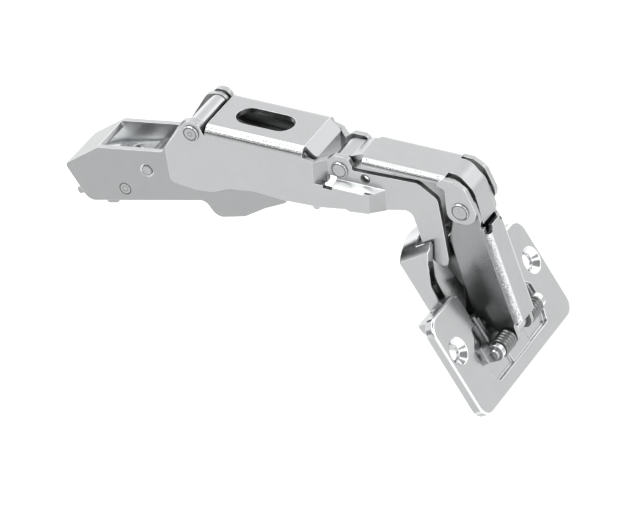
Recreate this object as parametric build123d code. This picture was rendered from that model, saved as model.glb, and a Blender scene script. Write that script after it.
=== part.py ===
from build123d import *
import math
import os

# Wide-angle concealed cup hinge, clip-on, shown opened out.
# Row frame: +X from the clip housing towards the door, +Y across, +Z away from the cabinet side.
# The origin is on the housing's foot line, in the middle plane, straight under the catch rivet.
# Arm frame: origin on the knee pivot, +X along the arm's top towards the door.
# Cup frame: origin midway between the two screw holes on the flange top, +X away from the door edge,
# +Z out of the cup's mouth.

os.makedirs("parts", exist_ok=True)

# Sheet and fits
housing_sheet = 1.5
arm_sheet = 1.6
lever_sheet = 1.5
cup_lever_sheet = 1.2
side_gap = 0.2
lever_side_gap = 0.35
running_gap = 0.05
head_gap = 0.05
release_side_gap = 0.7
spring_side_gap = 0.5
through = 20.0

# Widths across Y
arm_width = 19.2
nose_width = 13.2
outer_lever_width = 13.5
arm_inner_half = arm_width / 2 - arm_sheet
housing_half = arm_inner_half - side_gap
housing_inner_half = housing_half - housing_sheet
nose_half = nose_width / 2
nose_inner_half = nose_half - arm_sheet
outer_lever_half = outer_lever_width / 2
outer_lever_inner_half = outer_lever_half - lever_sheet
cup_lever_half = outer_lever_inner_half - lever_side_gap
cup_lever_inner_half = cup_lever_half - cup_lever_sheet

# Pivots
arm_droop = 14.0
arm_pivot_row = (19.1, 21.8)
arm_pivot_in_arm = (-42.1, 2.9)
elbow_in_arm = (34.75, -4.35)
hole_line_in_arm = (40.33, -36.59)
cup_pitch = 58.6
cup_pin_in_cup = (7.6, 2.4)
guide_pin_in_cup = (0.8, -6.8)
nose_pivot_in_arm = (27.2, -18.6)
cross_pivot_in_cup_lever = (25.5, -1.0)
guide_reach = (-10.4, -0.9)

# Pins and rivets
arm_pivot_radius = 2.0
arm_pivot_head_radius = 2.3
pivot_sleeve_radius = 2.6
knee_radius = 1.8
knee_head_radius = 2.35
elbow_radius = 1.8
elbow_head_radius = 2.5
head_height = 0.55
nose_pin_radius = 1.6
nose_seat_wall = 0.6
nose_pin_half = nose_half - nose_seat_wall
cross_pin_radius = 1.4
cup_pin_radius = 1.5
guide_pin_radius = 1.5
guide_pin_half = 9.5

# Clip housing
housing_front_x = 41.0
catch_rivet_row = (0.0, 9.25)
lever_rivet_row = (-8.8, 3.6)
catch_rivet_radius = 1.5
lever_rivet_radius = 1.6
rivet_ring = 0.45
web_top_z = 9.0
web_span = (housing_front_x - 17.5, housing_front_x - 1.0)
depth_screw_x = web_span[1] - 6.5
depth_screw_radius = 3.0
depth_screw_head_radius = 4.3

# Release lever
release_half = housing_inner_half - release_side_gap
release_sheet = 1.2
release_top_z = 10.4

# Arm channel
top_z = 5.6
bend_radius = 2.6
top_back_x = arm_pivot_in_arm[0] + 4.0
top_front_x = -9.4
slot_centre_x = -24.7
slot_length = 16.8
slot_width = 8.0
tongue_half = 7.2
tongue_length = 4.7
tongue_angle = 42.0
joggle_start_x = -6.4
joggle_depth = arm_width / 2 - nose_half
ledge_outer_z = -4.1
ledge_inner_z = -3.1
ledge_back_x = -1.0
bulge_front_x = 9.6
bulge_end_x = 13.2
relief_z = -2.3
relief_back_x = -3.7
dimple_at = (7.4, -1.1)
dimple_radius = 1.05
nose_end_radius = 3.7

# Outer lever
sleeve_radius = 3.3
knee_washer = 0.7
knee_washer_radius = 3.1
outer_top_z = 4.9
outer_back_x = 6.5
outer_ear_x = 30.2
strip_half = cup_lever_inner_half - 0.1
outer_bend = 2.0

# Cup lever
web_offset = 4.9
web_start = 6.8
web_end_gap = 3.5
web_bend = 2.4
relief_radius = 1.5
ring_radius = 2.6
elbow_end_radius = 3.6

# Cross lever and guide lever
cross_outer_half = 3.3
cross_sheet = 1.2
cross_half_height = 2.6
cross_tip_radius = 2.0
cross_lobe_radius = 2.4
guide_joint_radius = 1.1
guide_half = 1.8
guide_end_radius = 2.4
guide_tip_radius = 1.9
spacer_radius = 2.6

# Cup
cup_radius = 17.5
cup_offset = 9.5
cup_flat_half = 10.3
cup_depth = 11.7
cup_floor = 1.6
cavity_half = 6.9
cavity_wall = 1.9
flange_half = 27.35
flange_front = -11.5
flange_back = 19.0
flange_thickness = 2.7
mouth_half = 12.0
ledge_z = -3.5
pocket_back = 14.9
pocket_depth = 1.2
bay_reach = 2.2
plateau_half = 5.1
plateau_front = 9.6
plateau_depth = 0.5
screw_spacing = 45.0
screw_hole_radius = 2.1
countersink_radius = 3.75
countersink_depth = 1.6
spring_inner = cup_lever_half + spring_side_gap
spring_wire_radius = 0.57
spring_turns = 5
spring_pitch = 2 * spring_wire_radius + 0.02
spring_outer = spring_inner + spring_turns * spring_pitch
lug_gap = 0.3
lug_thickness = 1.6
lug_inner = spring_outer + lug_gap
lug_outer = lug_inner + lug_thickness
lug_radius = 2.3
cup_pin_half = lug_outer + 1.2
pocket_half = lug_outer + 1.8


# Closed outline from (x, z, corner radius) corners, its corners true arcs.
def outline(corners):
    edges = []
    count = len(corners)
    joins = []
    for index in range(count):
        before = corners[index - 1]
        here = corners[index]
        after = corners[(index + 1) % count]
        to_before = (before[0] - here[0], before[1] - here[1])
        to_after = (after[0] - here[0], after[1] - here[1])
        length_before = math.hypot(*to_before)
        length_after = math.hypot(*to_after)
        unit_before = (to_before[0] / length_before, to_before[1] / length_before)
        unit_after = (to_after[0] / length_after, to_after[1] / length_after)
        cosine = unit_before[0] * unit_after[0] + unit_before[1] * unit_after[1]
        half_angle = math.acos(max(-1.0, min(1.0, cosine))) / 2
        radius = here[2]
        if radius <= 0:
            joins.append(((here[0], here[1]), None, (here[0], here[1])))
            continue
        reach = radius / math.tan(half_angle)
        start = (here[0] + unit_before[0] * reach, here[1] + unit_before[1] * reach)
        end = (here[0] + unit_after[0] * reach, here[1] + unit_after[1] * reach)
        bisector = (unit_before[0] + unit_after[0], unit_before[1] + unit_after[1])
        bisector_length = math.hypot(*bisector)
        to_middle = radius / math.sin(half_angle) - radius
        middle = (here[0] + bisector[0] / bisector_length * to_middle,
                  here[1] + bisector[1] / bisector_length * to_middle)
        joins.append((start, middle, end))
    for index in range(count):
        start, middle, end = joins[index]
        if middle is not None:
            edges.append(ThreePointArc(start, middle, end))
        following = joins[(index + 1) % count][0]
        if math.dist(end, following) > 1e-6:
            edges.append(Line(end, following))
    return make_face(Wire(edges))


# Plate with its outline in XZ, standing between two Y values.
def across(corners, y_from, y_to):
    face = Plane.XZ * outline(corners)
    return Pos(0, y_from, 0) * extrude(face, amount=y_to - y_from, dir=(0, 1, 0))


# Outline stretched round circles (x, z, radius).
def hull_of(circles):
    edges = []
    for x, z, radius in circles:
        edges += (Pos(x, z) * Circle(radius)).edges()
    return make_hull(edges)


# Prism with its outline in XY.
def upright(corners, z_from, z_to):
    return Pos(0, 0, z_from) * extrude(outline(corners), amount=z_to - z_from)


# Prism with its outline in YZ.
def along(corners, x_from, x_to):
    face = Plane.YZ * outline(corners)
    return Pos(x_from, 0, 0) * extrude(face, amount=x_to - x_from, dir=(1, 0, 0))


# Round bar along Y.
def rod(radius, x, z, y_from, y_to):
    middle = (y_from + y_to) / 2
    return Pos(x, middle, z) * Rot(90, 0, 0) * Cylinder(radius, y_to - y_from)


def block(x_from, x_to, y_from, y_to, z_from, z_to):
    size = Box(x_to - x_from, y_to - y_from, z_to - z_from)
    return Pos((x_from + x_to) / 2, (y_from + y_to) / 2, (z_from + z_to) / 2) * size


def both_sides(shape):
    return shape + mirror(shape, about=Plane.XZ)


# Rivet along Y with a domed head past each end of its shank.
def rivet(radius, x, z, half, head_radius):
    shank = rod(radius, x, z, -half - head_height / 2, half + head_height / 2)
    head = rod(head_radius, x, z, half, half + head_height)
    head = chamfer(head.faces().sort_by(Axis.Y)[-1].edges(), head_height * 0.45)
    return shank + both_sides(head)


# The single solid that a fused shape is expected to be.
def joined(shape):
    solids = shape.solids()
    if len(solids) == 1:
        return solids[0]
    return Compound(children=list(solids))


# Point given in a frame that is pitched down about its origin, in the frame around it.
def turned_out(point, origin, pitch_down):
    turn = math.radians(pitch_down)
    return (origin[0] + point[0] * math.cos(turn) + point[1] * math.sin(turn),
            origin[1] - point[0] * math.sin(turn) + point[1] * math.cos(turn))


# The same the other way.
def turned_in(point, origin, pitch_down):
    turn = math.radians(pitch_down)
    dx = point[0] - origin[0]
    dz = point[1] - origin[1]
    return (dx * math.cos(turn) - dz * math.sin(turn),
            dx * math.sin(turn) + dz * math.cos(turn))


# Downward pitch, in degrees, of the line between two points in XZ.
def pitch(start, end):
    return math.degrees(math.atan2(start[1] - end[1], end[0] - start[0]))


cup_pin_in_arm = turned_out(cup_pin_in_cup, hole_line_in_arm, cup_pitch)
cup_lever_length = math.dist(elbow_in_arm, cup_pin_in_arm)
cup_lever_pitch = pitch(elbow_in_arm, cup_pin_in_arm)
cross_pivot_in_arm = turned_out(cross_pivot_in_cup_lever, elbow_in_arm, cup_lever_pitch)
cross_length = math.dist(nose_pivot_in_arm, cross_pivot_in_arm)
cross_pitch = pitch(nose_pivot_in_arm, cross_pivot_in_arm)
guide_joint_in_arm = turned_out(guide_reach, hole_line_in_arm, cup_pitch)
guide_joint_in_cross = turned_in(guide_joint_in_arm, nose_pivot_in_arm, cross_pitch)
guide_length = math.dist(guide_pin_in_cup, guide_reach)
guide_pitch = pitch(guide_pin_in_cup, guide_reach)

arm_place = Pos(arm_pivot_row[0], 0, arm_pivot_row[1]) * Rot(0, arm_droop, 0)
arm_place = arm_place * Pos(-arm_pivot_in_arm[0], 0, -arm_pivot_in_arm[1])
cup_place = arm_place * Pos(hole_line_in_arm[0], 0, hole_line_in_arm[1]) * Rot(0, cup_pitch, 0)
cup_lever_place = arm_place * Pos(elbow_in_arm[0], 0, elbow_in_arm[1]) * Rot(0, cup_lever_pitch, 0)
cross_place = arm_place * Pos(nose_pivot_in_arm[0], 0, nose_pivot_in_arm[1]) * Rot(0, cross_pitch, 0)
guide_place = cup_place * Pos(guide_pin_in_cup[0], 0, guide_pin_in_cup[1]) * Rot(0, guide_pitch, 0)


def make_clip_housing():
    pivot_x, pivot_z = arm_pivot_row
    # One side: rear point, sloped top, ear round the arm pivot, front lobe, straight foot.
    side = [
        (-21.6, 0.0, 3.0),
        (-25.6, 11.4, 1.2),
        (-13.4, 16.4, 1.5),
        (6.6, 14.9, 2.0),
        (pivot_x - 2.85, pivot_z + 2.85, 2.85),
        (pivot_x + 2.85, pivot_z + 2.85, 2.85),
        (pivot_x + 2.85, 18.0, 1.5),
        (25.5, 15.4, 2.0),
        (41.0, 11.0, 1.5),
        (housing_front_x, -0.6, 1.5),
        (33.4, -2.4, 3.0),
        (26.5, -4.9, 3.0),
        (17.6, -5.2, 3.2),
        (15.4, 0.0, 2.4),
    ]
    wall = across(side, -housing_half, -housing_inner_half)
    wall = wall - rod(arm_pivot_radius, pivot_x, pivot_z, -through, through)
    wall = wall - rod(catch_rivet_radius, *catch_rivet_row, -through, through)
    wall = wall - rod(lever_rivet_radius, *lever_rivet_row, -through, through)
    ring = rod(catch_rivet_radius + rivet_ring, *catch_rivet_row, -housing_half - 1, -housing_half + 0.4)
    wall = wall - ring
    walls = both_sides(wall)
    # Rear plate folded over between the sides, along the sloped top.
    slope_start = (-25.3, 11.55)
    slope_end = (-13.9, 16.2)
    run = math.dist(slope_start, slope_end)
    lean = math.degrees(math.atan2(slope_end[1] - slope_start[1], slope_end[0] - slope_start[0]))
    plate = block(0.6, run, -housing_half, housing_half, -housing_sheet, 0)
    plate = fillet(plate.edges().filter_by(Axis.X).group_by(Axis.Z)[-1], 1.2)
    plate = Pos(slope_start[0], 0, slope_start[1]) * Rot(0, -lean, 0) * plate
    # Front web carrying the depth screw, and its fold down at the back.
    web = block(*web_span, -housing_inner_half, housing_inner_half, web_top_z - housing_sheet, web_top_z)
    web = web - Pos(depth_screw_x, 0, web_top_z) * Cylinder(depth_screw_radius, 10)
    fold = block(web_span[0], web_span[0] + housing_sheet, -housing_inner_half, housing_inner_half, 2.0, web_top_z)
    return joined(walls + plate + web + fold)


def make_pivot_sleeve():
    half = housing_inner_half - running_gap
    sleeve = rod(pivot_sleeve_radius, *arm_pivot_row, -half, half)
    return joined(sleeve - rod(arm_pivot_radius + running_gap, *arm_pivot_row, -through, through))


def make_depth_screw():
    under_head = web_top_z + head_gap
    head = Pos(0, 0, under_head + 1.0) * Cylinder(depth_screw_head_radius, 2.0)
    head = chamfer(head.faces().sort_by(Axis.Z)[-1].edges(), 0.4)
    shank = Pos(0, 0, web_top_z - 2.4) * Cylinder(depth_screw_radius - running_gap, 5.0)
    collar_top = web_top_z - housing_sheet - head_gap
    collar = Pos(0, 0, collar_top - 1.0) * Cylinder(depth_screw_radius + 1.0, 2.0)
    cam = Pos(0.9, 0, collar_top - 3.6) * Cylinder(2.0, 4.0)
    screw = head + shank + collar + cam
    for turn in (0, 90):
        arm = Rot(0, 0, turn) * Box(4.6, 1.0, 2.4)
        screw = screw - Pos(0, 0, under_head + 2.0) * arm
    return joined(Pos(depth_screw_x, 0, 0) * screw)


def make_release_lever():
    pivot_x, pivot_z = lever_rivet_row
    side = [
        (-20.9, 1.2, 1.0),
        (-24.0, 2.4, 0.6),
        (-24.0, 4.9, 0.4),
        (-22.2, release_top_z - 1.2, 1.0),
        (-15.2, release_top_z, 1.0),
        (-2.8, release_top_z, 0.5),
        (-2.8, 8.4, 0.5),
        (-4.2, 7.2, 0.5),
        (-4.0, 1.2, 1.5),
        (-13.6, 0.2, 0.6),
        (-14.0, -2.1, 0.8),
        (-17.4, -2.1, 0.8),
        (-17.9, 0.5, 0.4),
    ]
    wall = across(side, -release_half, -release_half + release_sheet)
    wall = wall - rod(lever_rivet_radius + running_gap, pivot_x, pivot_z, -through, through)
    walls = both_sides(wall)
    finger = across([(-21.6, 1.4, 0.3), (-25.7, 0.8, 0.3), (-26.0, 2.4, 0.4), (-24.4, 3.4, 0.4), (-22.2, 3.6, 0.3)],
                    -release_half, release_half)
    top = block(-14.6, -2.8, -release_half, release_half, release_top_z - release_sheet, release_top_z)
    top = top - Pos(-8.4, 0, release_top_z) * Rot(0, 0, 90) * extrude(SlotOverall(8.4, 4.0), amount=5, both=True)
    hook = block(-5.5, -4.3, -release_half, release_half, 1.8, 5.6)
    return joined(walls + finger + top + hook)


def make_release_spring():
    pivot_x, pivot_z = lever_rivet_row
    wire = 0.4
    inner = lever_rivet_radius + 0.3
    coil_half = 2.6
    turns = 6
    length = 2 * coil_half
    step = length / turns
    tube = rod(inner + 2 * wire, pivot_x, pivot_z, -coil_half, coil_half)
    tube = tube - rod(inner, pivot_x, pivot_z, -coil_half - 1, coil_half + 1)
    for index in range(1, turns):
        y = -coil_half + index * step
        groove = rod(inner + 3 * wire, pivot_x, pivot_z, y - 0.08, y + 0.08)
        groove = groove - rod(inner + 1.4 * wire, pivot_x, pivot_z, y - 0.2, y + 0.2)
        tube = tube - groove
    reach = inner + wire
    leg = Pos(pivot_x - 4.6, -coil_half + wire, pivot_z + reach) * Rot(0, 90, 0) * Cylinder(wire, 9.2)
    return joined(tube + leg)


def arm_wall():
    outer = arm_width / 2
    # Outer plane of the arm's side, from the ear round the arm pivot to the end of the low bulge.
    rear = [
        (-49.5, -14.1, 1.8),
        (-50.4, -3.7, 1.0),
        (-43.6, 6.3, 2.6),
        (-40.1, 6.3, 2.4),
        (-38.4, 3.0, 0.6),
        (top_front_x + 0.4, 3.0, 0),
        (top_front_x + 1.6, 2.7, 1.0),
        (joggle_start_x, 2.3, 0),
        (joggle_start_x, ledge_outer_z, 0),
        (bulge_front_x, ledge_outer_z, 0),
        (bulge_front_x, -9.7, 0),
        (3.8, -10.4, 0.5),
        (2.6, -9.9, 0.5),
        (-5.0, -11.2, 2.0),
        (-15.2, -11.7, 3.0),
        (-24.5, -11.1, 6.0),
        (-32.0, -12.2, 6.0),
        (-37.0, -14.5, 6.0),
        (-42.3, -15.0, 4.0),
    ]
    wall = across(rear, -outer, -outer + arm_sheet)
    nub = across([(-7.1, -10.8, 0), (-4.9, -10.8, 0), (-5.2, -12.1, 0.5), (-6.8, -12.1, 0.5)],
                 -outer, -outer + arm_sheet)
    # Upper part steps inwards to carry the knee.
    step_x = joggle_start_x + joggle_depth
    lean = arm_sheet * (math.sqrt(2) - 1)
    step = upright([
        (joggle_start_x - 0.01, -outer, 0),
        (joggle_start_x, -outer, 0),
        (step_x, -nose_half, 0),
        (step_x + 0.01, -nose_half + arm_sheet, 0),
        (step_x - lean, -nose_half + arm_sheet, 0),
        (joggle_start_x - lean, -outer + arm_sheet, 0),
        (joggle_start_x - 1.2, -outer + arm_sheet, 0),
        (joggle_start_x - 1.2, -outer, 0),
    ], ledge_outer_z - 0.5, 2.3)
    # Inner plane: knee ear, long nose turned down to the nose pivot.
    nose = [
        (step_x - 0.3, -4.9, 0),
        (step_x - 0.3, 2.3, 0),
        (-1.7, 4.0, 1.2),
        (2.3, 4.0, 1.8),
        (3.6, 1.9, 0.5),
        (3.7, 0.5, 0.4),
        (22.6, 1.3, 3.0),
        (28.2, -2.3, 3.0),
        (30.6, -20.5, 1.2),
        (30.2, -23.2, 1.2),
        (26.6, -22.2, 2.0),
        (23.6, -18.2, 2.0),
        (20.4, -7.6, 2.5),
        (bulge_end_x, -9.3, 2.0),
        (bulge_end_x - 0.6, -9.4, 0),
        (bulge_end_x - 0.6, -4.9, 0),
    ]
    inner = across(nose, -nose_half, -nose_inner_half)
    relief = block(relief_back_x, ledge_back_x, -outer - 1, -nose_inner_half + 1, ledge_outer_z - 0.9, relief_z)
    # Shelf between the low bulge and the inner plane, with its ramped front end.
    shelf = along([
        (-outer, ledge_outer_z, 0.5),
        (-nose_half, ledge_inner_z, 0),
        (-nose_inner_half, ledge_inner_z, 0),
        (-nose_inner_half, ledge_inner_z - arm_sheet, 0),
        (-outer, ledge_outer_z - arm_sheet, 0),
    ], ledge_back_x, bulge_end_x)
    slope = (bulge_end_x - bulge_front_x) / joggle_depth
    ramp = upright([
        (bulge_front_x - 1.5, -outer, 0),
        (bulge_front_x, -outer, 0),
        (bulge_end_x, -nose_half, 0),
        (bulge_end_x, -nose_inner_half, 0),
        (bulge_front_x - 0.7 + slope * 1.2, -nose_inner_half, 0),
        (bulge_front_x - 1.5, -outer + arm_sheet, 0),
    ], -9.5, ledge_outer_z + 0.3)
    beyond = upright([
        (bulge_front_x, -outer - 0.01, 0),
        (bulge_end_x, -nose_half - 0.01, 0),
        (bulge_end_x + 5, -nose_half - 0.01, 0),
        (bulge_end_x + 5, -outer - 0.01, 0),
    ], -20, 10)
    return wall + nub + step + inner + (shelf - beyond) + ramp - relief


def make_arm_channel():
    outer = arm_width / 2
    wall = arm_wall()
    wall = wall - rod(arm_pivot_radius + running_gap, *arm_pivot_in_arm, -through, through)
    wall = wall - rod(knee_radius, 0, 0, -through, through)
    wall = wall - rod(nose_pin_radius, *nose_pivot_in_arm, -nose_pin_half, nose_pin_half)
    wall = wall - rod(dimple_radius, *dimple_at, -through, through)
    walls = both_sides(wall)
    inner_bend = bend_radius - arm_sheet
    under = top_z - arm_sheet
    foot = top_z - bend_radius - 0.3
    top = along([
        (-outer, foot, 0),
        (-outer, top_z, bend_radius),
        (outer, top_z, bend_radius),
        (outer, foot, 0),
        (outer - arm_sheet, foot, 0),
        (outer - arm_sheet, under, inner_bend),
        (-outer + arm_sheet, under, inner_bend),
        (-outer + arm_sheet, foot, 0),
    ], top_back_x, top_front_x)
    slot = Pos(slot_centre_x, 0, top_z) * extrude(SlotOverall(slot_length, slot_width), amount=10, both=True)
    tongue = block(-0.8, tongue_length, -tongue_half, tongue_half, -arm_sheet, 0)
    tongue = fillet(tongue.edges().filter_by(Axis.Z).group_by(Axis.X)[-1], 1.2)
    tongue = Pos(top_front_x - 0.1, 0, top_z) * Rot(0, tongue_angle, 0) * tongue
    above = block(top_back_x, 0, -outer, outer, top_z, top_z + 3)
    return joined(walls + (top - slot) + (tongue - above))


def make_outer_lever():
    half = outer_lever_half
    under = outer_top_z - lever_sheet
    # Curled eye on the knee rivet, and the strap up to the top plate.
    eye_half = nose_inner_half - knee_washer - 0.15
    eye = rod(sleeve_radius, 0, 0, -eye_half, eye_half)
    strap = across([
        (0.2, sleeve_radius - 0.05, 0),
        (2.6, 3.45, 1.5),
        (5.4, outer_top_z, 1.5),
        (outer_back_x + 1.0, outer_top_z, 0),
        (outer_back_x + 1.0, under, 0),
        (5.9, under, 1.0),
        (3.2, 1.5, 1.0),
        (0.2, 1.5, 0),
    ], -eye_half, eye_half)
    top = along([
        (-half, 2.9, 0),
        (-half, outer_top_z, outer_bend),
        (half, outer_top_z, outer_bend),
        (half, 2.9, 0),
        (half - lever_sheet, 2.9, 0),
        (half - lever_sheet, under, 0.4),
        (-half + lever_sheet, under, 0.4),
        (-half + lever_sheet, 2.9, 0),
    ], outer_back_x, outer_ear_x)
    # Ears down to the elbow rivet.
    ear = across([
        (outer_ear_x - 2.0, 3.0, 0),
        (outer_ear_x - 0.4, 4.4, 0.6),
        (33.0, 4.3, 1.6),
        (36.4, 2.4, 3.0),
        (39.3, -4.0, 3.5),
        (38.2, -8.4, 3.4),
        (31.0, -8.0, 3.0),
        (30.4, 1.5, 1.0),
        (outer_ear_x - 2.0, 1.9, 0),
    ], -half, -half + lever_sheet)
    ear = ear - rod(elbow_radius, *elbow_in_arm, -through, through)
    # Middle strip curving down over the elbow.
    strip = across([
        (outer_ear_x - 1.0, outer_top_z, 0),
        (33.2, outer_top_z, 5.0),
        (37.6, 0.5, 5.0),
        (39.8, -8.7, 0),
        (38.4, -9.1, 0),
        (36.2, 0.1, 4.0),
        (32.5, under, 3.5),
        (outer_ear_x - 1.0, under, 0),
    ], -strip_half, strip_half)
    bore = rod(knee_radius + running_gap, 0, 0, -through, through)
    return joined(eye + strap + top + both_sides(ear) + strip - bore)


def make_knee_washers():
    outer = nose_inner_half - running_gap
    washer = rod(knee_washer_radius, 0, 0, -outer, knee_washer - outer)
    washer = washer - rod(knee_radius + running_gap, 0, 0, -through, through)
    return both_sides(washer)


def make_cup_lever():
    half = cup_lever_half
    length = cup_lever_length
    web_stop = length - web_end_gap
    # Side wall: round end on the elbow, deep middle, narrow ring on the cup pin.
    side = [
        (-elbow_end_radius, -3.4, 3.4),
        (-elbow_end_radius, 3.6, 3.4),
        (4.6, 3.6, 1.5),
        (web_start - 0.6, web_offset - 2.0, 0.3),
        (web_stop, web_offset - 2.0, 0.3),
        (web_stop + 0.5, 2.6, 0.2),
        (length + ring_radius, ring_radius, ring_radius - 0.05),
        (length + ring_radius, -ring_radius, ring_radius - 0.05),
        (length - 1.8, -ring_radius - 0.2, 1.5),
        (length - 4.4, -5.4, 2.0),
        (30.0, -7.9, 4.0),
        (9.0, -7.3, 3.0),
        (2.5, -3.9, 3.0),
    ]
    wall = across(side, -half, -half + cup_lever_sheet)
    wall = wall - rod(elbow_radius + running_gap, 0, 0, -through, through)
    wall = wall - rod(cup_pin_radius + running_gap, length, 0, -through, through)
    web = along([
        (-half, web_offset - 2.6, 0),
        (-half, web_offset, web_bend),
        (half, web_offset, web_bend),
        (half, web_offset - 2.6, 0),
        (half - cup_lever_sheet, web_offset - 2.6, 0),
        (half - cup_lever_sheet, web_offset - cup_lever_sheet, web_bend - cup_lever_sheet),
        (-half + cup_lever_sheet, web_offset - cup_lever_sheet, web_bend - cup_lever_sheet),
        (-half + cup_lever_sheet, web_offset - 2.6, 0),
    ], web_start, web_stop)
    notch = Pos(web_start + 0.4, -half + 1.3, web_offset) * Cylinder(relief_radius, 3.0)
    return joined(both_sides(wall) + (web - both_sides(notch)))


def make_cross_lever():
    length = cross_length
    # Three-pivot plate: nose pivot, cup lever pivot and a lobe for the guide lever.
    plate = hull_of([
        (0, 0, cross_half_height),
        (length, 0, cross_tip_radius),
        (*guide_joint_in_cross, cross_lobe_radius),
    ])
    wall = Pos(0, -cross_outer_half, 0) * extrude(Plane.XZ * plate, amount=cross_sheet, dir=(0, 1, 0))
    wall = wall - rod(nose_pin_radius + running_gap, 0, 0, -through, through)
    wall = wall - rod(cross_pin_radius, length, 0, -through, through)
    wall = wall - rod(guide_joint_radius, *guide_joint_in_cross, -through, through)
    return both_sides(wall)


def make_guide_lever():
    length = guide_length
    side = hull_of([(0, 0, guide_end_radius), (length, 0, guide_tip_radius)])
    lever = Pos(0, -guide_half, 0) * extrude(Plane.XZ * side, amount=2 * guide_half, dir=(0, 1, 0))
    lever = lever - rod(guide_pin_radius + running_gap, 0, 0, -through, through)
    return joined(lever)


def make_nose_spacers():
    inner = cross_outer_half + 0.05
    outer = nose_inner_half - 0.05
    ring = rod(spacer_radius, *nose_pivot_in_arm, -outer, -inner)
    ring = ring - rod(nose_pin_radius, *nose_pivot_in_arm, -through, through)
    return both_sides(ring)


def make_cup_body():
    centre_x = -cup_offset
    back_x = -8.0
    # Round boss, flat-sided towards the arm and full round under the flange.
    boss = Pos(centre_x, 0, -cup_depth / 2) * Cylinder(cup_radius, cup_depth)
    for side in (-1, 1):
        y_near = min(side * cup_flat_half, side * 30)
        y_far = max(side * cup_flat_half, side * 30)
        boss = boss - block(-60, back_x, y_near, y_far, -20, 1)
    boss = boss - block(-60, 60, -30, 30, -flange_thickness, 5)
    rim = Pos(centre_x, 0, -flange_thickness / 2) * Cylinder(cup_radius, flange_thickness)
    rim = rim & block(-60, flange_front + 1, -cup_flat_half, cup_flat_half, -5, 5)
    rim = rim & block(-60, 60, -30, 30, -5, -1.3)
    # Flange
    flange = upright([
        (flange_front, -flange_half, 4.5),
        (flange_back, -flange_half, 4.0),
        (flange_back, flange_half, 4.0),
        (flange_front, flange_half, 4.5),
    ], -flange_thickness, 0)
    flange = fillet(flange.faces().sort_by(Axis.Z)[-1].edges(), 0.7)
    cup = boss + rim + flange
    # Mouth, side ledges and the long cavity for the levers.
    mouth = upright([
        (flange_front - 20, -mouth_half, 0),
        (flange_front, -mouth_half - 0.6, 0),
        (-0.9, -mouth_half + 0.8, 0),
        (-0.9, mouth_half - 0.8, 0),
        (flange_front, mouth_half + 0.6, 0),
        (flange_front - 20, mouth_half, 0),
    ], ledge_z, 5)
    mouth = mouth & block(flange_front - 0.1, 60, -30, 30, -through, through)
    pocket = upright([
        (-0.9, -pocket_half + 1.4, 0.8),
        (1.4, -pocket_half + 0.6, 0.6),
        (4.0, -pocket_half - bay_reach, 0.8),
        (9.4, -pocket_half - bay_reach, 1.2),
        (pocket_back, -pocket_half + 0.2, 1.0),
        (pocket_back, pocket_half - 0.2, 1.0),
        (9.4, pocket_half + bay_reach, 1.2),
        (4.0, pocket_half + bay_reach, 0.8),
        (1.4, pocket_half - 0.6, 0.6),
        (-0.9, pocket_half - 1.4, 0.8),
    ], -pocket_depth, 5)
    plateau = block(plateau_front, pocket_back + 0.5, -plateau_half, plateau_half,
                    -flange_thickness, -plateau_depth)
    cavity_round = Pos(centre_x, 0, -cup_depth / 2 + 5) * Cylinder(cup_radius - cavity_wall, cup_depth + 10)
    cavity = cavity_round & block(-60, 60, -cavity_half, cavity_half, -cup_depth + cup_floor, 20)
    # The rim dips along both sides towards the flange.
    dip = across([
        (-24.6, -1.2, 0),
        (-20.5, -3.9, 5.0),
        (-14.5, -6.9, 3.0),
        (-8.6, -7.4, 0.5),
        (-8.6, -flange_thickness, 0),
        (flange_front - 0.01, -flange_thickness, 0),
        (flange_front - 0.01, 5, 0),
        (-24.6, 5, 0),
    ], -through, through)
    # Way in for the nose through the front of the rim.
    gate = block(-60, centre_x, -cavity_half - 0.3, cavity_half + 0.3, -6.6, 20)
    cup = cup - mouth - pocket - cavity - dip - gate + plateau
    lug = rod(lug_radius, *cup_pin_in_cup, lug_inner, lug_outer)
    stem = block(cup_pin_in_cup[0] - lug_radius, cup_pin_in_cup[0] + lug_radius, lug_inner, lug_outer,
                 -pocket_depth - 0.5, cup_pin_in_cup[1])
    cup = cup + both_sides(lug + stem)
    cup = cup - rod(cup_pin_radius, *cup_pin_in_cup, -through, through)
    cup = cup - rod(guide_pin_radius, *guide_pin_in_cup, -guide_pin_half - 0.1, guide_pin_half + 0.1)
    for side in (-1, 1):
        y = side * screw_spacing / 2
        drill = Pos(0, y, 0) * Cylinder(screw_hole_radius, 20)
        sink = Pos(0, y, -countersink_depth / 2) * Cone(screw_hole_radius, countersink_radius, countersink_depth)
        sink = sink + Pos(0, y, 1) * Cylinder(countersink_radius, 2)
        cup = cup - drill - sink
    return joined(cup)


def make_cup_pin():
    pin = rod(cup_pin_radius, *cup_pin_in_cup, -cup_pin_half, cup_pin_half)
    ends = pin.faces().sort_by(Axis.Y)
    return joined(chamfer(ends[0].edges() + ends[-1].edges(), 0.3))


def make_closing_spring():
    x, z = cup_pin_in_cup
    inner = cup_pin_radius + 0.12
    middle = inner + spring_wire_radius
    rings = None
    for index in range(spring_turns):
        y = spring_inner + spring_wire_radius + index * spring_pitch
        ring = Torus(middle, spring_wire_radius)
        ring = Pos(x, y, z) * Rot(90, 0, 0) * ring
        rings = ring if rings is None else rings + ring
    sleeve = rod(middle + 0.25, x, z, spring_inner + 0.3, spring_outer - 0.3)
    sleeve = sleeve - rod(inner, x, z, -through, through)
    leg_y = spring_outer - spring_wire_radius - 0.02
    leg = Pos(x - 5.2, leg_y, z - middle) * Rot(0, 90, 0) * Cylinder(spring_wire_radius, 10.4)
    return both_sides(rings + sleeve + leg)


def save(name, place, shape):
    placed = place * shape
    placed.label = name
    export_step(placed, os.path.join("parts", name + ".step"))


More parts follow.
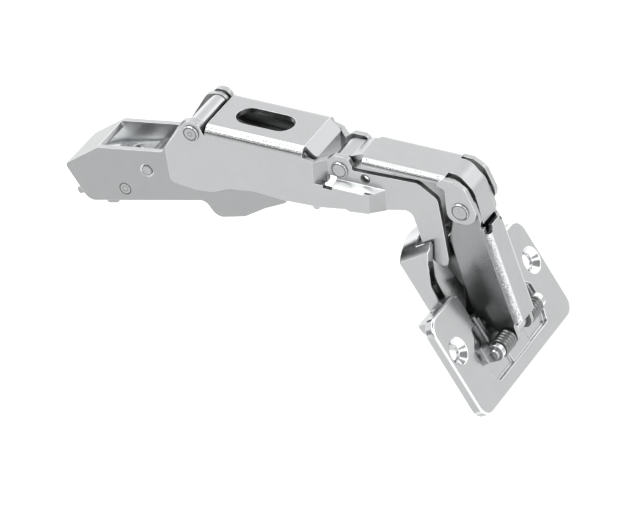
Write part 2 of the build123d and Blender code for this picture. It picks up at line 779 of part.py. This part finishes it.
row_place = Pos(0, 0, 0)
outer_wall = arm_width / 2
save("clip_housing", row_place, make_clip_housing())
save("arm_pivot_rivet", row_place,
     joined(rivet(arm_pivot_radius, *arm_pivot_row, outer_wall + head_gap, arm_pivot_head_radius)))
save("pivot_sleeve", row_place, make_pivot_sleeve())
save("catch_rivet", row_place, joined(rod(catch_rivet_radius, *catch_rivet_row, -housing_half, housing_half)))
save("lever_rivet", row_place, joined(rod(lever_rivet_radius, *lever_rivet_row, -housing_half, housing_half)))
save("release_lever", row_place, make_release_lever())
save("release_spring", row_place, make_release_spring())
save("depth_screw", row_place, make_depth_screw())
save("arm_channel", arm_place, make_arm_channel())
save("knee_rivet", arm_place, joined(rivet(knee_radius, 0, 0, nose_half, knee_head_radius)))
save("knee_washers", arm_place, make_knee_washers())
save("nose_rivet", arm_place,
     joined(rod(nose_pin_radius, *nose_pivot_in_arm, -nose_pin_half, nose_pin_half)))
save("nose_spacers", arm_place, make_nose_spacers())
save("outer_lever", arm_place, make_outer_lever())
save("elbow_rivet", arm_place,
     joined(rivet(elbow_radius, *elbow_in_arm, outer_lever_half, elbow_head_radius)))
save("cup_lever", cup_lever_place, make_cup_lever())
save("cross_lever", cross_place, make_cross_lever())
save("cross_pin", cross_place,
     joined(rod(cross_pin_radius, cross_length, 0, -cross_outer_half, cross_outer_half)))
save("cup_body", cup_place, make_cup_body())
save("cup_pin", cup_place, make_cup_pin())
save("guide_lever", guide_place, make_guide_lever())
save("guide_pin", cup_place, joined(rod(guide_pin_radius, *guide_pin_in_cup, -guide_pin_half, guide_pin_half)))
save("closing_spring", cup_place, make_closing_spring())
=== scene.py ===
import math
import bmesh
import bpy
from mathutils import Matrix, Vector

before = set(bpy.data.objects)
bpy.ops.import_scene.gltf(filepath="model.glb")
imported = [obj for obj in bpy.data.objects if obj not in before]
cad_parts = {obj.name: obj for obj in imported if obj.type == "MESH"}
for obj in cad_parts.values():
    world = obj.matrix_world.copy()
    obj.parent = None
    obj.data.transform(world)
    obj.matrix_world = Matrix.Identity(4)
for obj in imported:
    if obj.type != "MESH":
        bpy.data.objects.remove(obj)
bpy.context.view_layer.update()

mm = 0.001


class Value:
    # A socket that can be written in sums and products
    def __init__(self, bench, socket):
        self.bench = bench
        self.socket = socket

    def maths(self, kind, *others, clamp=False):
        return self.bench.node("Math", {"operation": kind, "use_clamp": clamp}, self, *others)

    def __add__(self, other):
        return self.maths("ADD", other)

    __radd__ = __add__

    def __sub__(self, other):
        return self.maths("SUBTRACT", other)

    def __rsub__(self, other):
        return self.bench.node("Math", {"operation": "SUBTRACT"}, other, self)

    def __mul__(self, other):
        return self.maths("MULTIPLY", other)

    __rmul__ = __mul__

    def most(self, other):
        return self.maths("MAXIMUM", other)

    def least(self, other):
        return self.maths("MINIMUM", other)

    def size(self):
        return self.maths("ABSOLUTE")

    def held(self):
        return self.maths("ADD", 0.0, clamp=True)  # kept between 0 and 1

    def rise(self, low, high):
        # 0 below low, 1 above high, smooth between
        smooth = {"interpolation_type": "SMOOTHSTEP"}
        return self.bench.node("MapRange", smooth, self, low, high, 0.0, 1.0)


class Bench:
    # A node tree, and the one method that adds a node to it
    def __init__(self, tree):
        self.tree = tree

    def node(self, kind, settings=None, *inputs, out=0, **named):
        # Sockets are fed in order or by name, and None leaves one as it is
        made = self.tree.nodes.new("ShaderNode" + kind)
        for key, value in (settings or {}).items():
            if key == "stops":
                self.setStops(made.color_ramp, value)
            else:
                setattr(made, key, value)
        for socket, value in zip(made.inputs, inputs):
            self.feed(socket, value)
        for socket, value in named.items():
            self.feed(made.inputs[socket], value)
        made.location = (len(self.tree.nodes) * 40, 0)
        if len(made.outputs):
            return Value(self, made.outputs[out])

    def feed(self, socket, value):
        if isinstance(value, Value):
            self.tree.links.new(value.socket, socket)
        elif value is not None:
            socket.default_value = value

    def setStops(self, ramp, stops):
        while len(ramp.elements) < len(stops):
            ramp.elements.new(0.5)
        for stop, (place, level) in zip(ramp.elements, stops):
            stop.position = place
            stop.color = (level, level, level, 1)

    def dot(self, first, second):
        return self.node("VectorMath", {"operation": "DOT_PRODUCT"}, first, second, out=1)

    def multiplied(self, first, second):
        # The colour sockets of a Mix node are its seventh and eighth
        settings = {"data_type": "RGBA", "blend_type": "MULTIPLY"}
        return self.node("Mix", settings, 1.0, None, None, None, None, None, first, second, out=2)

    def grey(self, level):
        return self.node("CombineColor", {}, level, level, level)

    def noise(self, coords, scale, detail=2.0, rough=0.5):
        return self.node("TexNoise", {}, Vector=coords, Scale=scale, Detail=detail, Roughness=rough)


def newMaterial(name):
    made = bpy.data.materials.new(name)
    made.use_nodes = True
    made.node_tree.nodes.clear()
    return made, Bench(made.node_tree)


def finishMaterial(bench, colour, rough, metal, bump=None):
    sockets = {"Base Color": colour, "Roughness": rough, "Metallic": metal, "Normal": bump}
    bench.node("OutputMaterial", {}, bench.node("BsdfPrincipled", {}, **sockets))


camera = {
    "place": (0.8047, -1.0570, 0.6374),
    "forward": (-0.5235, 0.7233, -0.4504),
    "up": (-0.0083, 0.5243, 0.8515),
    "lens": 311.8,
    "sensor": 36,
    "nearest": 0.05,
}


def makeCamera():
    forward = Vector(camera["forward"]).normalized()
    right = forward.cross(Vector(camera["up"])).normalized()
    up = right.cross(forward)
    turn = Matrix((right, up, -forward)).transposed().to_4x4()
    data = bpy.data.cameras.new("camera")
    data.lens = camera["lens"]
    data.sensor_width = camera["sensor"]
    data.clip_start = camera["nearest"]
    view = bpy.data.objects.new("camera", data)
    view.matrix_world = Matrix.Translation(camera["place"]) @ turn
    bpy.context.scene.collection.objects.link(view)
    bpy.context.scene.camera = view


makeCamera()
print("camera set")


# Heights and aims are parts of a unit direction; pairs are where a change starts and ends
sky = {
    "strength": 1.36,
    "bands": [(0.0, 1.0), (0.05, 0.98), (0.31, 1.55), (0.64, 1.02), (1.0, 1.15)],  # height, level
    "shade": 0.80,  # how dark the flag and the card are
    "flagFront": (0.25, 0.55),
    "flagFoot": (0.02, 0.08),
    "flagHead": (0.34, 0.46),
    "cardAim": (0.435, -0.146, 0.886),
    "cardEdge": (0.86, 0.94),
}


def makeSky():
    # A pale room with a dark flag low in front and a dark card overhead, for the plate to mirror
    world = bpy.data.worlds.new("studio")
    bpy.context.scene.world = world
    world.use_nodes = True
    world.node_tree.nodes.clear()
    bench = Bench(world.node_tree)
    aim = bench.node("TexCoord", {}, out=0)
    height = bench.dot(aim, (0, 0, 1))
    level = bench.node("ValToRGB", {"stops": sky["bands"]}, height)
    front = bench.dot(aim, (0, -1, 0)).rise(*sky["flagFront"])
    flag = front * height.rise(*sky["flagFoot"]) * (1 - height.rise(*sky["flagHead"])) * sky["shade"]
    card = bench.dot(aim, sky["cardAim"]).rise(*sky["cardEdge"]) * sky["shade"]
    level = bench.multiplied(level, bench.grey((1 - flag) * (1 - card)))
    bench.node("OutputWorld", {}, bench.node("Background", {}, level, sky["strength"]))


makeSky()


lampAim = (0.05, 0, 0)
lamps = {
    "topBox": {"place": (-0.11, -0.42, 0.60), "width": 0.62, "height": 0.12, "power": 1.0},
    "sideBox": {"place": (0.70, -0.75, 0.20), "width": 0.30, "height": 0.30, "power": 0.5},
}


def softbox(name, place, width, height, power):
    data = bpy.data.lights.new(name, "AREA")
    data.shape = "RECTANGLE"
    data.size = width
    data.size_y = height
    data.energy = power
    lamp = bpy.data.objects.new(name, data)
    lamp.location = place
    lamp.rotation_euler = (Vector(lampAim) - Vector(place)).to_track_quat("-Z", "Y").to_euler()
    bpy.context.scene.collection.objects.link(lamp)


for name, look in lamps.items():
    softbox(name, **look)


floorLook = {"z": -0.078, "size": 9.0, "level": 0.97, "rough": 0.9, "cloudScale": 6, "cloud": 0.01}


def makeFloor():
    half = floorLook["size"] / 2
    corners = ((-half, -half), (half, -half), (half, half), (-half, half))
    mesh = bpy.data.meshes.new("floor")
    form = bmesh.new()
    form.faces.new([form.verts.new((x, y, floorLook["z"])) for x, y in corners])
    form.to_mesh(mesh)
    form.free()
    floor = bpy.data.objects.new("floor", mesh)
    bpy.context.scene.collection.objects.link(floor)
    made, bench = newMaterial("paleFloor")
    place = bench.node("TexCoord", {}, out=3)
    cloud = bench.noise(place, floorLook["cloudScale"])
    level = (cloud - 0.5) * floorLook["cloud"] + floorLook["level"]
    finishMaterial(bench, bench.grey(level), floorLook["rough"], 0.0)
    mesh.materials.append(made)


makeFloor()
bpy.context.scene.view_settings.view_transform = "Standard"
print("studio ready")


# tone, side: how light flat faces and the pieces' side faces are, the side level being painted light and
# shade
# flatRough, bendRough: gloss on flats and round bends; speckle, speckleScale: grain on the folds, with a
# painted sheen
# edge: rounding of edges in mm, which also sets the painted edge highlight; reach: how far a crevice's
# painted shade spreads, in mm
# dark: how dark the painted shade in recesses goes, or below 0 how much painted light they get; hollow:
# share of a deep one in it
# rim: painted highlight on round edges; mottle: grain on side faces
# openTo: x in mm past which recesses take a dark painted shade; footTo: z in mm under which the piece is
# darker
finishes = {
    "pressed": {"tone": 0.40, "side": 0.42, "flatRough": 0.32, "bendRough": 0.22,
                "speckle": 0.9, "speckleScale": 3300, "edge": 0.34, "reach": 4.5,
                "dark": 0.88, "hollow": 0.80},
    # The housing's sides take a darker painted shade; its open recesses get painted light, and those past
    # openTo a dark painted shade
    "pressedHousing": {"tone": 0.40, "side": 0.32, "flatRough": 0.32, "bendRough": 0.22,
                       "speckle": 0.9, "speckleScale": 3300, "edge": 0.34, "reach": 3.0,
                       "dark": -4.0, "hollow": 0.60, "openTo": 13.0},
    # The cup lever's side faces take a dark painted shade
    "pressedCupSide": {"tone": 0.40, "side": 0.27, "flatRough": 0.28, "bendRough": 0.20,
                       "speckle": 0.9, "speckleScale": 3300, "edge": 0.30, "reach": 4.5,
                       "dark": 0.85, "hollow": 0.5},
    # A darker copy of the pressed plate: painted shade for pieces lying in shadow
    "pressedInShade": {"tone": 0.22, "side": 0.22, "flatRough": 0.28, "bendRough": 0.20,
                    "speckle": 0.7, "speckleScale": 3300, "edge": 0.24, "reach": 4.0,
                    "dark": 0.9, "hollow": 0.6},
    # The cast cup's recesses get painted light and its round edges a painted highlight
    "cast": {"tone": 0.42, "side": 0.42, "flatRough": 0.18, "bendRough": 0.12,
             "speckle": 0.1, "speckleScale": 1500, "edge": 0.55, "reach": 3.0,
             "dark": -0.70, "hollow": 0.3, "rim": 0.40},
    # The release lever is painted far paler than the other plate, a painted light for where it sits inside
    # the housing; darker towards the bottom
    "releasePlate": {"tone": 1.0, "side": 0.95, "flatRough": 0.26, "bendRough": 0.14,
                     "speckle": 0.2, "speckleScale": 1500, "edge": 0.35, "reach": 3.0,
                     "dark": -0.1, "hollow": 0.4, "footTo": 3.5},
    "turned": {"tone": 0.45, "side": 0.36, "flatRough": 0.18, "bendRough": 0.10,
               "speckle": 0.3, "speckleScale": 3200, "edge": 0.20, "reach": 1.2,
               "dark": 0.7, "hollow": 0.3, "mottle": 0.9},
    # The depth screw is painted near black, a painted shade for the slot it sits in
    "screwInShade": {"tone": 0.08, "side": 0.08, "flatRough": 0.35, "bendRough": 0.25,
                  "speckle": 0.2, "speckleScale": 2600, "edge": 0.10, "reach": 3.0,
                  "dark": 0.9, "hollow": 0.75},
    "wire": {"tone": 0.17, "side": 0.17, "flatRough": 0.20, "bendRough": 0.12,
             "speckle": 0.1, "speckleScale": 2500, "edge": 0.05, "reach": 1.0,
             "dark": 0.9, "hollow": 0.5},
}

# What is the same in every finish; pairs are where a change starts and ends
plating = {
    "flat": (0.90, 0.995),  # how squarely a face looks along one of the piece's axes
    "folded": (0.12, 0.30),  # how far a bend has turned to the side, here and in the next two
    "sideTone": (0.75, 0.97),
    "sideGrain": (0.80, 0.95),
    "sideMottle": 0.06,
    "cloud": {"scale": 130, "detail": 3.0, "rough": 0.55},
    "smear": {"scale": 420},
    "finer": 2.3,  # scale of the fine grain over the speckle's
    # edgeTurn, edgeTone: where the painted edge highlight starts and how light it goes
    "edgeTurn": (0.008, 0.16),
    "edgeTone": 0.76,
    # crevice to pastOpen: the painted shade laid by ambient occlusion in crevices, hollows and past the open
    # end
    "crevice": (0.12, 0.80),
    "deep": (0.02, 0.45),
    "deepReach": 18,
    "pastOpen": {"dark": 0.95, "over": 4},
    "foot": {"tone": 0.34, "over": 1},
    # band: the painted sheen on the bends
    "band": {"end": 0.72, "slope": 0.48, "grain": (0.43, 0.59), "bright": 0.78, "between": 0.64},
    # mostLit: cap on the painted light in lit recesses
    "mostLit": 0.92,
    # ledge: the painted highlight on a lit ledge
    "ledge": {"turn": (0.985, 0.996), "tone": 0.65},
    "tint": (0.985, 1.01),  # red and blue over green
    "recessRough": 0.30,  # recesses keep a duller plate, so they hold no sharp streaks
    "bump": {"Strength": 0.55, "Distance": 0.06 * mm},
    "ringFace": (0.6, 0.9),
    "ringCore": 0.4,  # share of a ring's width at its full depth
}


def upright(pitch, tilt=0.0):
    # Up on a piece pitched down by so many degrees, tilted to the near side
    turn, lean = math.radians(pitch), math.radians(tilt)
    return math.cos(lean) * math.sin(turn), -math.sin(lean), math.cos(lean) * math.cos(turn)


def ringMark(bench, place, centre, radius, width):
    # 1 on a ring about a line along Y, 0 away from it
    centre = (centre[0] * mm, 0, centre[1] * mm)
    shift = bench.node("VectorMath", {"operation": "SUBTRACT"}, place, centre)
    flatten = bench.node("VectorMath", {"operation": "MULTIPLY"}, shift, (1, 0, 1))
    reach = bench.node("VectorMath", {"operation": "LENGTH"}, flatten, out=1)
    return 1 - (reach - radius * mm).size().rise(width * plating["ringCore"] * mm, width * mm)


def flatness(bench, facing, across, pitch, alsoFlat):
    # 1 on faces square to the piece, on its 45 degree faces and on one more pitch
    turn = math.radians(pitch)
    along = bench.dot(facing, (math.cos(turn), 0, -math.sin(turn))).size()
    above = bench.dot(facing, upright(pitch)).size()
    flat = across.most(along).most(above).most((across + along) * math.sqrt(0.5))
    if alsoFlat is not None:
        flat = flat.most(bench.dot(facing, upright(alsoFlat)).size())
    return flat.rise(*plating["flat"])


def recess(bench, look):
    # Mask for the painted shade from ambient occlusion: 0 in the open, 1 deep in a crevice or a hollow
    crevice = bench.node("AmbientOcclusion", {"samples": 10}, out=1, Distance=look["reach"] * mm)
    hollow = bench.node("AmbientOcclusion", {"samples": 10}, out=1, Distance=plating["deepReach"] * mm)
    deep = hollow.rise(*plating["deep"]) * look["hollow"] + (1 - look["hollow"])
    return 1 - crevice.rise(*plating["crevice"]) * deep


def recessDark(bench, look, place):
    # How dark the painted shade in a recess goes, which may change along the piece
    if "openTo" not in look:
        return look["dark"]
    past = plating["pastOpen"]
    start = look["openTo"]
    beyond = bench.dot(place, (1, 0, 0)).rise(start * mm, (start + past["over"]) * mm)
    return beyond * (past["dark"] - look["dark"]) + look["dark"]


def plated(name, finish, pitch, alsoFlat=None, lit=None, rings=()):
    # Nickel plate on one piece: satin on its flat faces, grained round its bends with a painted sheen, with
    # painted highlights on edges and painted shade in recesses
    made, bench = newMaterial(name)
    look = finishes[finish]
    place = bench.node("TexCoord", {}, out=3)
    facing = bench.node("TexCoord", {}, out=1)
    across = bench.dot(facing, (0, 1, 0)).size()
    bend = 1 - flatness(bench, facing, across, pitch, alsoFlat)
    folded = bend * across.rise(*plating["folded"]) * look["speckle"]
    speckle = bench.noise(place, look["speckleScale"], 3.0, 0.6)
    grain = bench.noise(place, look["speckleScale"] * plating["finer"])
    cloud = bench.noise(place, **plating["cloud"])
    smear = bench.noise(place, **plating["smear"])
    rounded = bench.node("Bevel", {"samples": 8}, look["edge"] * mm)
    trueNormal = bench.node("NewGeometry", {}, out=1)
    edge = (1 - bench.dot(rounded, trueNormal)).rise(*plating["edgeTurn"])
    recessShade = recess(bench, look)
    dark = recessDark(bench, look, place)

    # Tone of flats and sides, clouded; the sides' own level is painted light and shade, then the recesses
    # take a painted shade
    mottle = (speckle - 0.5) * across.rise(*plating["sideGrain"]) * look.get("mottle", plating["sideMottle"])
    level = (cloud - 0.5) * 0.10 + (smear - 0.5) * 0.05 + mottle + 1
    sideways = across.rise(*plating["sideTone"])
    level = level * (sideways * (look["side"] - look["tone"]) + look["tone"]) * (1 - recessShade * dark)
    if "footTo" in look:
        foot = plating["foot"]
        above = bench.dot(place, (0, 0, 1)).rise((look["footTo"] - foot["over"]) * mm, look["footTo"] * mm)
        level = level * (above * (1 - foot["tone"]) + foot["tone"])

    # Painted sheen: bright grain on the upper part of each lengthwise bend, breaking up towards the side
    band = plating["band"]
    bright = (speckle + (band["end"] - across) * band["slope"]).rise(*band["grain"])
    grainAndSheen = bright * (band["bright"] * (1 - recessShade)) + level * (1 - bright) * band["between"]
    level = level * (1 - folded) + grainAndSheen * folded
    # Painted light in recesses is capped
    if look["dark"] < 0:
        level = level.least(plating["mostLit"])
    # Painted highlight along rounded edges and, on the cast cup, its round bends, kept out of the recesses
    paintedHighlight = edge * (plating["edgeTone"] - look["tone"]) + bend * look.get("rim", 0.0)
    level = level + paintedHighlight * (1 - recessShade)
    # Painted highlight on faces tilted like the lit ledge
    if lit is not None:
        ledge = bench.dot(facing, upright(pitch, lit))
        level = level + ledge.rise(*plating["ledge"]["turn"]) * plating["ledge"]["tone"]

    height = (speckle - 0.5) * folded * 0.30 + (grain - 0.5) * 0.18 + (smear - 0.5) * 0.25
    for centre, radius, width, depth in rings:
        mark = ringMark(bench, place, centre, radius, width) * across.rise(*plating["ringFace"])
        level = level * (1 - mark * depth)
        height = height - mark * depth

    level = level.held()
    red, blue = plating["tint"]
    tone = bench.node("CombineColor", {}, level * red, level, level * blue)
    rough = bend * (look["bendRough"] - look["flatRough"]) + look["flatRough"]
    rough = rough + (cloud - 0.5) * 0.10 + (grain - 0.5) * 0.06 + recessShade * plating["recessRough"]
    bump = bench.node("Bump", {}, Height=height, Normal=rounded, **plating["bump"])
    finishMaterial(bench, tone, rough.held(), 1.0, bump)
    return made


def dress(node, look):
    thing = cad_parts[node]
    thing.data.materials.clear()
    thing.data.materials.append(plated(node + "_plate", **look))


# Pitch of each piece below +X in degrees, as the hinge lies at rest
droop = 14.0
elbowPitch = droop + 72.8
cupPitch = droop + 58.6

# Lines along Y in mm, as (x, z), that the rings go round
pivots = {"arm": (19.1, 21.8), "catch": (0.0, 9.25), "lever": (-8.8, 3.6),
          "knee": (59.248, 8.801), "elbow": (91.913, -3.826), "dimple": (66.16, 5.94)}

# alsoFlat: pitch of one more flat face; lit: tilt of a ledge given a painted highlight, both in degrees
# rings: line, radius and width in mm, depth from 0 to 1
dressing = {
    "clip_housing": {"finish": "pressedHousing", "pitch": 0.0, "alsoFlat": -22.0,
                     "rings": [(pivots["lever"], 1.68, 0.20, 0.7)]},
    "pivot_sleeve": {"finish": "turned", "pitch": 0.0},
    "catch_rivet": {"finish": "turned", "pitch": 0.0, "rings": [(pivots["catch"], 1.40, 0.18, 0.6)]},
    "lever_rivet": {"finish": "turned", "pitch": 0.0,
                    "rings": [(pivots["lever"], 1.55, 0.16, 0.7), (pivots["lever"], 0.75, 0.25, 0.35)]},
    "release_lever": {"finish": "releasePlate", "pitch": 0.0},
    "release_spring": {"finish": "wire", "pitch": 0.0},
    "depth_screw": {"finish": "screwInShade", "pitch": 0.0},
    "arm_pivot_rivet": {"finish": "turned", "pitch": droop,
                        "rings": [(pivots["arm"], 1.85, 0.25, 0.7), (pivots["arm"], 0.60, 0.25, 0.35)]},
    "arm_channel": {"finish": "pressed", "pitch": droop, "alsoFlat": droop + 42.0, "lit": 18.4,
                    "rings": [(pivots["dimple"], 1.20, 0.30, 0.8)]},
    "knee_rivet": {"finish": "turned", "pitch": droop, "rings": [(pivots["knee"], 1.95, 0.22, 0.7)]},
    "knee_washers": {"finish": "turned", "pitch": droop},
    "nose_rivet": {"finish": "turned", "pitch": droop},
    "nose_spacers": {"finish": "pressedInShade", "pitch": droop},
    "outer_lever": {"finish": "pressed", "pitch": droop},
    "elbow_rivet": {"finish": "turned", "pitch": droop, "rings": [(pivots["elbow"], 2.10, 0.22, 0.7)]},
    "cup_lever": {"finish": "pressedCupSide", "pitch": elbowPitch},
    "cross_lever": {"finish": "pressedInShade", "pitch": elbowPitch},
    "cross_pin": {"finish": "turned", "pitch": droop},
    "guide_lever": {"finish": "pressedInShade", "pitch": elbowPitch},
    "cup_body": {"finish": "cast", "pitch": cupPitch},
    "cup_pin": {"finish": "turned", "pitch": cupPitch},
    "guide_pin": {"finish": "turned", "pitch": cupPitch},
    "closing_spring": {"finish": "wire", "pitch": cupPitch},
}

for node, look in dressing.items():
    dress(node, look)
print("plated", len(dressing), "nodes")
